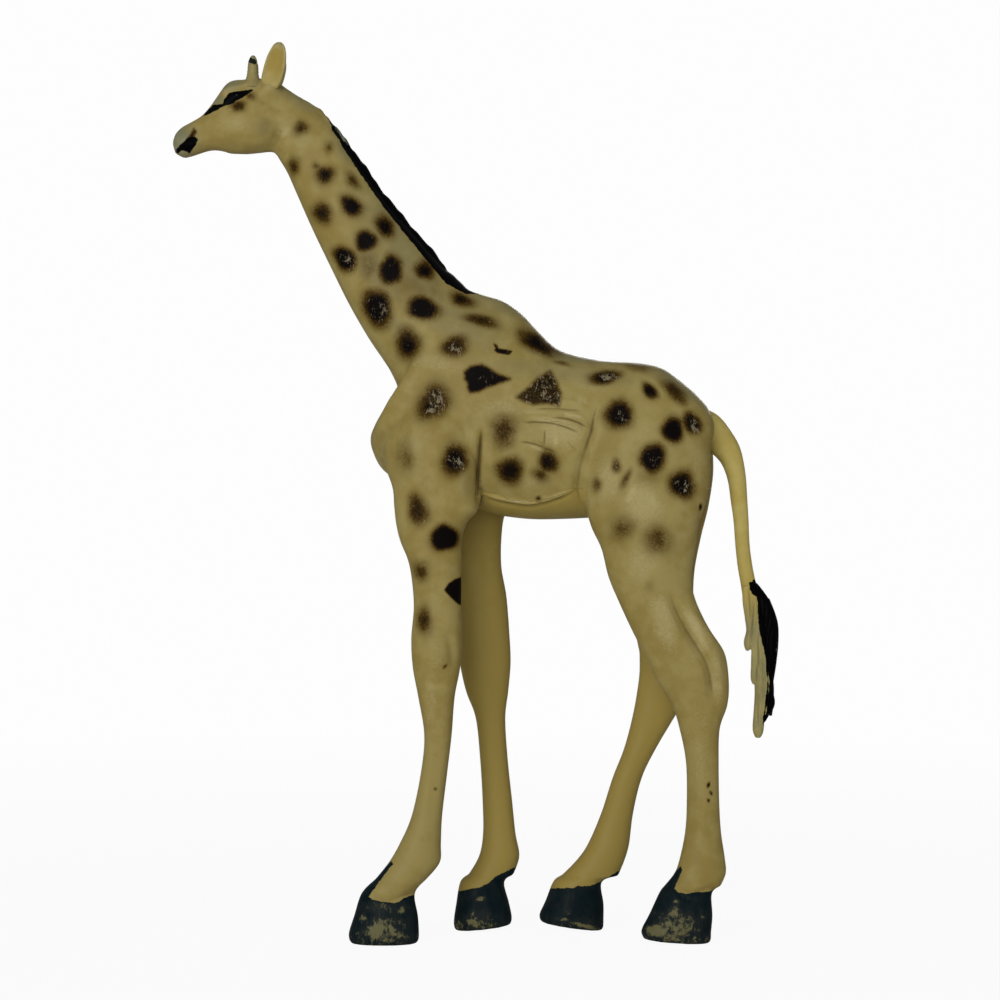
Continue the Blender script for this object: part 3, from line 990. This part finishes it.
def line_object(name, stops):
    """Line through stops of x, y, z and thickness."""
    curve = bpy.data.curves.new(name, "CURVE")
    curve.dimensions = "3D"
    spline = curve.splines.new("POLY")
    spline.points.add(len(stops) - 1)
    for point, (x, y, z, radius) in zip(spline.points, stops):
        point.co = (x, y, z, 1)
        point.radius = radius
    return new_object(name, curve)


def grown(item, tree, name, **sizes):
    """Plain mesh object that a node tree grows from a line object."""
    modifier = item.modifiers.new("grow", "NODES")
    modifier.node_group = tree
    for socket in tree.interface.items_tree:
        if socket.in_out == "INPUT" and socket.name in sizes:
            modifier[socket.identifier] = sizes[socket.name]
    return settled(item, name)


def whole_leg(leg):
    """One leg and its hoof, down to a sole whose toe or heel may stand off the floor."""
    rows = leg_rows(leg)
    hoof_start = len(rows) - len(HOOF_SHARES)
    smooth = np.vstack([flow(rows[:hoof_start], 6)[:-1], flow(rows[hoof_start - 1:], 4)])
    toe, heel = SOLE_LIFTS.get(leg, (0, 0))
    rings = []
    for front, rear, height, middle, half in smooth:
        near_sole = max(1 - height / HOOF_HEIGHT, 0) ** 1.5
        rings.append(ring((front, height + toe * near_sole), (rear, height + heel * near_sole), middle, half,
                          LEG_SQUARENESS, LEG_SIDES))
    return skin(leg, rings)


def mane(material):
    """Crest of the mane with its uneven edge, and a row of locks on each side of it."""
    crest = [tuple(frame_point(NECK, *shares).xz) for shares in MANE_SHARES]
    rings = []
    for number, (x, z) in enumerate(flow(crest, 5)):
        uneven = (0.15 * math.sin(number * 2.1) + 0.12 * math.sin(number * 0.83)) * MM
        high = Vector((x, 0, z)) + NAPE * uneven
        low = Vector((x, 0, z)) - NAPE * MANE_HEIGHT
        rings.append(ring((high.x, high.z), (low.x, low.z), 0, MANE_WIDTH / 2, 1, MANE_SIDES))
    parts = [skin("mane", rings)]
    for side in (LEFT, RIGHT):
        stops = []
        for x, z in flow(crest[1:-1], 3):
            low = Vector((x, 0, z)) - NAPE * (MANE_HEIGHT * 0.42)
            stops.append((low.x, side * MANE_WIDTH * 0.27, low.z, 1))
        parts.append(grown(line_object("mane_line", stops), hair_row_tree(material), "mane_locks", Spacing=1.25 * MM))
    return parts


def whole_body(material):
    """The moulded body in one skin: lofts of trunk, neck, head, legs and mane, melted together."""
    rows = flow(body_rows(), 6)
    rings = [ring(row[:2], row[2:4], 0, row[4], BODY_SQUARENESS, BODY_SIDES) for row in rows]
    parts = [skin("trunk_neck_head", rings)] + [whole_leg(leg) for leg in LEGS] + mane(material)
    body = melted(parts, "moulded_body", VOXEL)
    mesh = body.data
    points = relaxed(mesh, read_points(mesh), KEEP_SIZE * 4)
    places = on_sheet(points)
    for across, down, reach, passes in SOFT_JOINS:
        gap = np.hypot(places[:, 0] - across, places[:, 1] - down)
        points = relaxed(mesh, points, DRAW_IN * passes, 1 - step_up(gap, reach * 0.55, reach))
    write_points(mesh, points)
    return body


def in_zone(points, places, zone):
    """Share of a fold or swelling that shows at each point: on the trunk, the legs or the head."""
    high = step_up(points[:, 2], 172 * MM, 178 * MM)
    low = 1 - step_up(places[:, 1], 520, 545) if zone == "trunk" else step_up(places[:, 1], 515, 545)
    if zone == "head":
        return high
    return low * (1 - high)


def every_fold():
    """Each fold with the name of its zone."""
    return [(zone, fold) for zone, folds in FOLDS.items() for fold in folds]


def carve(body):
    """Folds, ridges and swellings on both sides of the moulded body."""
    mesh = body.data
    points = read_points(mesh)
    normals = read_normals(mesh)
    places = on_sheet(points)
    outward = step_up(normals[:, 1] * np.sign(points[:, 1]), 0.05, 0.45)
    height = np.zeros(len(points))
    for zone, (line, width, rise, _) in every_fold():
        line = np.array(line, dtype=float)
        low, high = line.min(axis=0) - 4 * width, line.max(axis=0) + 4 * width
        index = np.nonzero(((places > low) & (places < high)).all(axis=1))[0]
        gap, share, _ = from_line(places[index], flow(line, 5))
        ends = step_up(share, -0.02, 0.22) * (1 - step_up(share, 0.80, 1.02))
        local = np.exp(-((gap / width) ** 2)) * rise * ends
        height[index] += local * in_zone(points[index], places[index], zone)
    for across, down, wide, high, rise, zone in SWELLINGS:
        gap = egg(places, across, down, wide, high)
        height += np.exp(-gap ** 2 * 1.6) * rise * in_zone(points, places, zone)
    points = points + normals * (height * outward * UNIT)[:, None]
    write_points(mesh, relaxed(mesh, points, KEEP_SIZE))


def dirt_lines(places, lines):
    """Signed distance from the nearest of several lines, and how dirty that line is at each place."""
    nearest = np.full(len(places), FAR)
    crease = np.full(len(places), NO_CREASE)
    dirt = np.zeros(len(places))
    for line, strength, zone in lines:
        gap, share, side = from_line(places, line)
        closer = gap < nearest
        nearest[closer] = gap[closer]
        crease[closer] = (side * gap)[closer]
        ends = step_up(share, 0.0, 0.25) * (1 - step_up(share, 0.78, 1.0)) * (1 - step_up(gap, 3.5, 6.0))
        dirt[closer] = (strength * ends * zone)[closer]
    return crease, dirt


def sprayed_spots(points, places, outward):
    """How dense the sprayed spots lie at each point, and how rubbed; those on the right are moved by chance."""
    chance = np.random.default_rng(11)
    right = points[:, 1] > 0
    spots = np.zeros(len(points))
    rub = np.zeros(len(points))
    for side in (LEFT, RIGHT):
        on_side = np.nonzero(right == (side == RIGHT))[0]
        here = places[on_side]
        depth = np.abs(points[on_side, 1])

        def spray(density, wear):
            """Put the denser of the spots on top, with its wear."""
            stronger = density > spots[on_side]
            spots[on_side] = np.where(stronger, density, spots[on_side])
            rub[on_side] = np.where(stronger, wear, rub[on_side])

        for across, down, wide, high, lean, tone, wear, soft in SPOTS:
            if side == RIGHT:
                across, down = across + chance.uniform(-7, 7), down + chance.uniform(-5, 5)
                wide, high = wide * chance.uniform(0.85, 1.15), high * chance.uniform(0.85, 1.15)
                wear = wear * 0.8
            gap = egg(here, across, down, wide, high, lean, 0.10)
            close = np.argmin(gap + 9 * (outward[on_side] < 0.5))
            gap = np.hypot(gap, (depth - depth[close]) / UNIT / max(wide, high) * 0.7)
            density = tone * (np.exp(-0.66 * gap ** (1.6 + 2.0 * (1 - soft))) + 0.13 * np.exp(-(gap / 1.7) ** 2))
            middle = egg(here, across + 0.18 * wide, down + 0.14 * high, wide, high, lean, 0.25)
            spray(density, wear * (1.25 - 0.85 * middle))
        for outline, tone, wear, soft in CORNERED_SPOTS:
            spray(tone * step_up(inside(here, outline), -soft * 1.5, soft), wear)
    return spots * outward, rub


def brushed_paint(points, facing, direct):
    """Signed distance into the brushed paint of mane, eye, nose and hooves: above zero inside it."""
    enamel = np.full(len(points), NO_PAINT)
    high = points[:, 2] > 110 * MM
    for outline in (MANE_PAINT, EYE_PAINT, NOSE_PAINT):
        shape = inside(facing[high], outline)
        if outline is MANE_PAINT:
            down = facing[high, 1]
            reach = (3.6 + 1.7 * step_up(down, 215, 262) - 2.0 * step_up(down, 282, 302)) * MM
            shape = np.minimum(shape, (reach - np.abs(points[high, 1])) / UNIT)
        enamel[high] = np.maximum(enamel[high], shape)
    for leg, outline in LEG_PAINT.items():
        side = LEGS[leg][0]
        fore = points[:, 0] < (12 * MM if side == RIGHT else 10 * MM)
        here = (points[:, 2] < 24 * MM) & (points[:, 1] * side > 0) & (fore == ("fore" in leg))
        enamel[here] = np.maximum(enamel[here], inside(direct[here], outline))
    return enamel


def rubbed_paint(points, facing, direct):
    """How far the brushed paint is rubbed off at each point, in patches and along the soles."""
    bare = np.zeros(len(points))
    for across, down, wide, tall, lean, strength in BARE_PATCHES:
        gap = egg(direct if down > 600 else facing, across, down, wide, tall, lean)
        bare = np.maximum(bare, strength * (1 - step_up(gap, 0.35, 1.35)))
    sole = points[:, 2] < 6 * MM
    bare[sole] = np.maximum(bare[sole], 0.42 * (1 - step_up(points[sole, 2], 0.6 * MM, 5 * MM)))
    return bare


def paint_body(body):
    """Sprayed spots, brushed paint and rubbed places of the moulded body, as numbers on its vertices."""
    mesh = body.data
    points = read_points(mesh)
    normals = read_normals(mesh)
    places = on_sheet(points)
    outward = step_up(normals[:, 1] * np.sign(points[:, 1]), -0.35, 0.05)
    spots, rub = sprayed_spots(points, places, outward)
    dirty = [(flow(line, 5), dirt, in_zone(points, places, zone) * outward)
             for zone, (line, _, _, dirt) in every_fold() if dirt]
    crease, dirt = dirt_lines(places, dirty)
    middle = (np.abs(points[:, 1]) < 1.2 * MM) & (points[:, 2] > LEG_LENGTH)
    crease[middle] = points[middle, 1] / UNIT
    dirt[middle] = 0.45
    facing = seen(points, True)
    direct = seen(points, False)
    gap, share, _ = from_line(places, SEAM_LIP)
    ends = step_up(share, 0.02, 0.14) * (1 - step_up(share, 0.86, 0.96))
    lip = 0.45 * np.exp(-(gap / 2.4) ** 2) * ends * in_zone(points, places, "trunk")
    give_values(body, spots=spots, rub=rub, enamel=brushed_paint(points, facing, direct),
                bare=rubbed_paint(points, facing, direct), cavity=cavity_of(mesh, points, normals),
                crease=crease, dirt=dirt, scuff=np.maximum(patches(places, SCUFFED), lip) * outward,
                dull=patches(places, DULLED) * outward, tint=patches(places, TINTED) * outward)


def seam_block(name, points, lowest, sides, lift):
    """Block under a stretch of the seam line, between two upright planes."""
    bm = bmesh.new()
    outline = [bm.verts.new((point.x, sides[0], point.z + lift)) for point in points]
    outline += [bm.verts.new((point.x, sides[0], lowest)) for point in reversed(points)]
    face = bm.faces.new(outline)
    raised = bmesh.ops.extrude_face_region(bm, geom=[face])
    moved = [item for item in raised["geom"] if isinstance(item, bmesh.types.BMVert)]
    bmesh.ops.translate(bm, vec=(0, sides[1] - sides[0], 0), verts=moved)
    bmesh.ops.recalc_face_normals(bm, faces=bm.faces)
    return new_piece(name, bm)


def under_blocks(lift):
    """Blocks that the under piece fills: between the legs, and the belly below the seam on each flank."""
    rows = flow([tuple(frame_point(TRUNK, *shares)) for shares in SEAM_SHARES], 4)
    points = [Vector(row) for row in rows]
    inner = LEG_SPACING / 2 - SEAM_GAP / 2 + lift
    blocks = [seam_block("between_legs", points, -10 * MM, (-inner, inner), lift)]
    for side, (first, last) in FLANK_SEAMS.items():
        stretch = points[first * 4:last * 4 + 1]
        planes = (side * inner / 2, side * TRUNK_WIDTH)
        blocks.append(seam_block("flank", stretch, LEG_LENGTH - 4 * MM, planes, lift))
    return blocks


def cut_away(item, operation, tools):
    """Cut an object with closed tools, or keep what lies in them, and remove the tools."""
    for tool in tools:
        modifier = item.modifiers.new(tool.name, "BOOLEAN")
        modifier.operation = operation
        modifier.solver = "MANIFOLD"
        modifier.object = tool
    name = item.name
    item.name = name + "_whole"
    piece = settled(item, name)
    for tool in tools:
        bpy.data.objects.remove(tool, do_unlink=True)
    return piece


def copy_of(item, name):
    """Second object with its own copy of the mesh."""
    return new_object(name, item.data.copy())


def side_block(side):
    """Block that covers one side of the figure up to the middle seam."""
    bm = bmesh.new()
    bmesh.ops.create_cube(bm, size=1)
    bmesh.ops.scale(bm, vec=(400 * MM, 60 * MM, 600 * MM), verts=bm.verts)
    bmesh.ops.translate(bm, vec=(0, side * (30 * MM + MIDDLE_GAP / 2), 0), verts=bm.verts)
    return new_piece("side_block", bm)


def make_body_pieces():
    """Side shells and under piece, cut from the one moulded body along the seams of the figure."""
    shell_plastic = painted_plastic("shell_plastic", CREAM, DEEP_CREAM, HOOF_PAINT)
    under_plastic = painted_plastic("under_plastic", UNDER_CREAM, DEEP_UNDER_CREAM, HOOF_PAINT, cloudy=0.4)
    body = whole_body(shell_plastic)
    carve(body)
    paint_body(body)
    for name, side in (("left_side_shell", LEFT), ("right_side_shell", RIGHT)):
        shell = cut_away(copy_of(body, name), "INTERSECT", [side_block(side)])
        shell = cut_away(shell, "DIFFERENCE", under_blocks(SEAM_GAP))
        finish_piece(shell, shell_plastic, "shell_plastic", name)
    between_legs, *flanks = under_blocks(0)
    joined = cut_away(between_legs, "UNION", flanks)
    under = copy_of(body, "belly_and_inner_legs")
    under = cut_away(under, "INTERSECT", [joined])
    finish_piece(under, under_plastic, "under_plastic", "belly_and_inner_legs")
    bpy.data.objects.remove(body, do_unlink=True)


def plant(item, side, root_shares, spacing, lean, spread, turn, right_shift):
    """Stand a horn or an ear on its side of the head; the one on the right sits a little apart."""
    seat = frame_point(HEAD, *root_shares) + Vector((0, side * spacing / 2, 0))
    stance = Matrix.Translation(seat) @ Matrix.Rotation(lean, 4, "Y") @ Matrix.Rotation(-side * spread, 4, "X")
    item.data.transform(stance @ Matrix.Rotation(side * turn, 4, "Z"))
    if side == RIGHT:
        item.data.transform(Matrix.Translation(right_shift))


def make_horn(name, side, material):
    """Knobbed horn, turned, a little lumpy, with a dark brushed tip worn off on top."""
    profile = flow([(radius * HORN_RADIUS, height * HORN_HEIGHT) for height, radius in HORN_SHARES], 6)
    turn = np.arange(HORN_SIDES) * (2 * math.pi / HORN_SIDES)
    rings = []
    for number, (radius, height) in enumerate(profile):
        swell = radius * (1 + 0.035 * math.sin(number * 1.7))
        lobes = swell * (1 + 0.02 * np.sin(turn * 3 + number * 0.2))
        rings.append(np.stack([lobes * np.cos(turn), lobes * np.sin(turn), np.full(HORN_SIDES, height)], axis=1))
    item = skin(name, rings)
    points = read_points(item.data)
    height = points[:, 2] / HORN_HEIGHT
    band = height + 0.10 * points[:, 0] / HORN_RADIUS
    enamel = 8 * step_up(band, 0.66, 0.74) * (1 - step_up(band, 0.84, 0.94)) - 4
    enamel -= step_up(points[:, 0] / HORN_RADIUS, 0.18, 0.55) * 5
    plant(item, side, HORN_ROOT_SHARES, HORN_SPACING, HORN_LEAN, HORN_SPREAD, 0, RIGHT_HORN_SHIFT)
    give_values(item, enamel=enamel, dull=0.35 + 0.65 * step_up(height, 0.55, 0.9))
    finish_piece(item, material, "horn_plastic", name)


def make_ear(name, side, material):
    """Leaf cupped to the outside with a rolled rim."""
    rings = []
    arcs = np.linspace(-1, 1, EAR_ARC)
    rows = flow(EAR_SHARES, 8)
    for length, width, thickness in rows:
        half = max(width, 0.02) * EAR_WIDTH / 2
        thick = thickness * EAR_THICKNESS / 2
        swell = thick * (1 - np.abs(arcs) ** 3 * 0.62)
        rim = 0.22 * MM * np.exp(-((np.abs(arcs) - 0.86) / 0.10) ** 2) * step_up(length, 0.1, 0.4)
        hollow = -side * EAR_CUP * width * (1 - arcs ** 2) * step_up(length, 0.10, 0.42)
        along = np.full(EAR_ARC, length * EAR_LENGTH)
        back = np.stack([arcs * half, hollow + swell, along], axis=1)
        front = np.stack([arcs * half, hollow - swell, along], axis=1)
        cupped = front if side == LEFT else back
        cupped[:, 1] += side * rim
        rings.append(np.vstack([back, front[::-1]]))
    item = skin(name, rings)
    points = read_points(item.data)
    arc = np.tile(np.concatenate([arcs, arcs[::-1]]), len(rows))
    front_side = np.tile(np.repeat([0, 1] if side == LEFT else [1, 0], EAR_ARC), len(rows))
    length = points[:, 2] / EAR_LENGTH
    cup = front_side * (1 - step_up(np.abs(arc), 0.45, 0.9))
    cup = cup * step_up(length, 0.16, 0.50) * (1 - step_up(length, 0.78, 0.95))
    points[:, 0] -= 0.75 * MM * (1 - np.clip(length, 0, 1)) ** 1.5
    write_points(item.data, points)
    plant(item, side, EAR_ROOT_SHARES, EAR_SPACING, EAR_LEAN, EAR_SPREAD, EAR_TURN, RIGHT_EAR_SHIFT)
    give_values(item, cavity=0.06 * cup + 0.20 * (1 - step_up(length, 0.04, 0.20)), tint=cup,
                scuff=0.55 * (1 - cup) * step_up(length, 0.3, 0.6), dull=0.5 * step_up(length, 0.86, 1.0))
    finish_piece(item, material, "ear_plastic", name)


def make_tail(material):
    """Hanging tail that ends in a moulded tuft of overlapping locks, half of it brushed black."""
    tree = strand_tree(material)
    parts = []
    for number, (offset, stops) in enumerate(TAIL_STRANDS):
        middle = offset * UNIT
        rows = [(EYE.x + (across - SHEET_MIDDLE) * UNIT, middle, EYE.z - (down - SHEET_MIDDLE) * UNIT,
                 max(radius, 0.4) * UNIT) for across, down, radius in flow(stops, 6)]
        name = f"strand_{number}"
        strand = grown(line_object(name, rows), tree, name, Sides=STRAND_SIDES)
        points = read_points(strand.data)
        points[:, 1] = middle + (points[:, 1] - middle) * TAIL_FLATNESS
        write_points(strand.data, points)
        parts.append(strand)
    item = melted(parts, "tail", FINE_VOXEL)
    mesh = item.data
    points = relaxed(mesh, read_points(mesh), KEEP_SIZE * 3)
    write_points(mesh, points)
    normals = read_normals(mesh)
    places = seen(points, False)
    locks = np.sin(places[:, 0] * 1.5 + np.sin(places[:, 1] * 0.09) * 3.0 + points[:, 1] / UNIT * 0.5)
    tuft = step_up(places[:, 1], 590, 610) * np.abs(normals[:, 1])
    points = points + normals * (locks * tuft * 0.07 * MM)[:, None]
    write_points(mesh, points)
    places = seen(points, False)
    enamel = inside(places, TUFT_PAINT)
    enamel = np.where(normals[:, 0] > 0.5, enamel + 2, enamel)
    grooves = [(flow(line, 5), 0.40, np.abs(normals[:, 1])) for line in TAIL_GROOVES]
    crease, dirt = dirt_lines(places, grooves)
    give_values(item, enamel=enamel, bare=patches(places, TUFT_PATCHES), cavity=cavity_of(mesh, points, normals),
                crease=crease, dirt=dirt, dull=0.75 * step_up(places[:, 1], 585, 628))
    finish_piece(item, material, "tail_plastic", "tail")


def make_floor():
    """White floor that goes over into the white background a little away from the figure."""
    bm = bmesh.new()
    bmesh.ops.create_grid(bm, x_segments=1, y_segments=1, size=6)
    floor = new_piece("floor", bm)
    material, graph, shader = new_material("floor_paper")
    graph.give(shader, {"Base Color": FLOOR_GREY, "Roughness": 0.9, "Specular IOR Level": 0.0})
    white = graph.node("ShaderNodeEmission", None, {"Color": (*[BACKGROUND_WHITE] * 3, 1), "Strength": 1.0})
    watched = graph.node("ShaderNodeLightPath").result("Is Camera Ray")
    place = graph.node("ShaderNodeTexCoord", result="Object")
    away = graph.node("ShaderNodeVectorMath", {"operation": "LENGTH"}, {0: place}, "Value")
    plain = away.between(0.10, 0.60) * (1 - FLOOR_WHITE) + FLOOR_WHITE
    paper = Link(graph, shader.outputs["BSDF"])
    mixed = graph.node("ShaderNodeMixShader", None, {0: watched * plain, 1: paper, 2: white})
    graph.give(material.node_tree.nodes["Material Output"], {"Surface": mixed})
    floor.data.materials.append(material)


def make_lights():
    """Even white light from everywhere, and soft lamps."""
    world = bpy.data.worlds.new("studio")
    bpy.context.scene.world = world
    world.use_nodes = True
    graph = Graph(world.node_tree)
    path = graph.node("ShaderNodeLightPath")
    seen_white = path.result("Is Camera Ray").larger(path.result("Is Glossy Ray") * 0.22)
    seen_white = seen_white.larger(path.result("Is Transmission Ray"))
    strength = seen_white * (BACKGROUND_WHITE - AMBIENT) + AMBIENT
    graph.give(world.node_tree.nodes["Background"], {"Strength": strength, "Color": (1, 1, 1, 1)})
    for name, place, size, power in LAMPS:
        light = bpy.data.lights.new(name, "AREA")
        light.shape = "DISK"
        light.size = size
        light.energy = power
        lamp = new_object(name, light)
        lamp.location = place
        lamp.rotation_euler = (LAMP_TARGET - Vector(place)).to_track_quat("-Z", "Y").to_euler()


def make_camera():
    """Camera that sees the figure as the side drawing does."""
    data = bpy.data.cameras.new("camera")
    data.sensor_width = SENSOR_WIDTH
    data.lens = SENSOR_WIDTH * -EYE.y / (2 * SHEET_MIDDLE * UNIT)
    data.clip_start = 0.01
    data.clip_end = 50
    camera = new_object("camera", data)
    camera.location = EYE
    camera.rotation_euler = (math.radians(90), 0, 0)
    bpy.context.scene.camera = camera
    bpy.context.scene.view_settings.view_transform = "Standard"


make_body_pieces()
horn_plastic = painted_plastic("horn_plastic", CREAM, DEEP_CREAM, HORN_PAINT, HORN_PAINT[0])
ear_plastic = painted_plastic("ear_plastic", EAR_CREAM, EAR_GOLD, HORN_PAINT, cloudy=0.25)
for word, side in (("left", LEFT), ("right", RIGHT)):
    make_horn(word + "_horn", side, horn_plastic)
    make_ear(word + "_ear", side, ear_plastic)
make_tail(painted_plastic("tail_plastic", TAIL_CREAM, DEEP_TAIL_CREAM, TUFT_BLACK, TUFT_BLACK[0], 0.6))
make_floor()
make_lights()
make_camera()
bpy.context.view_layer.update()
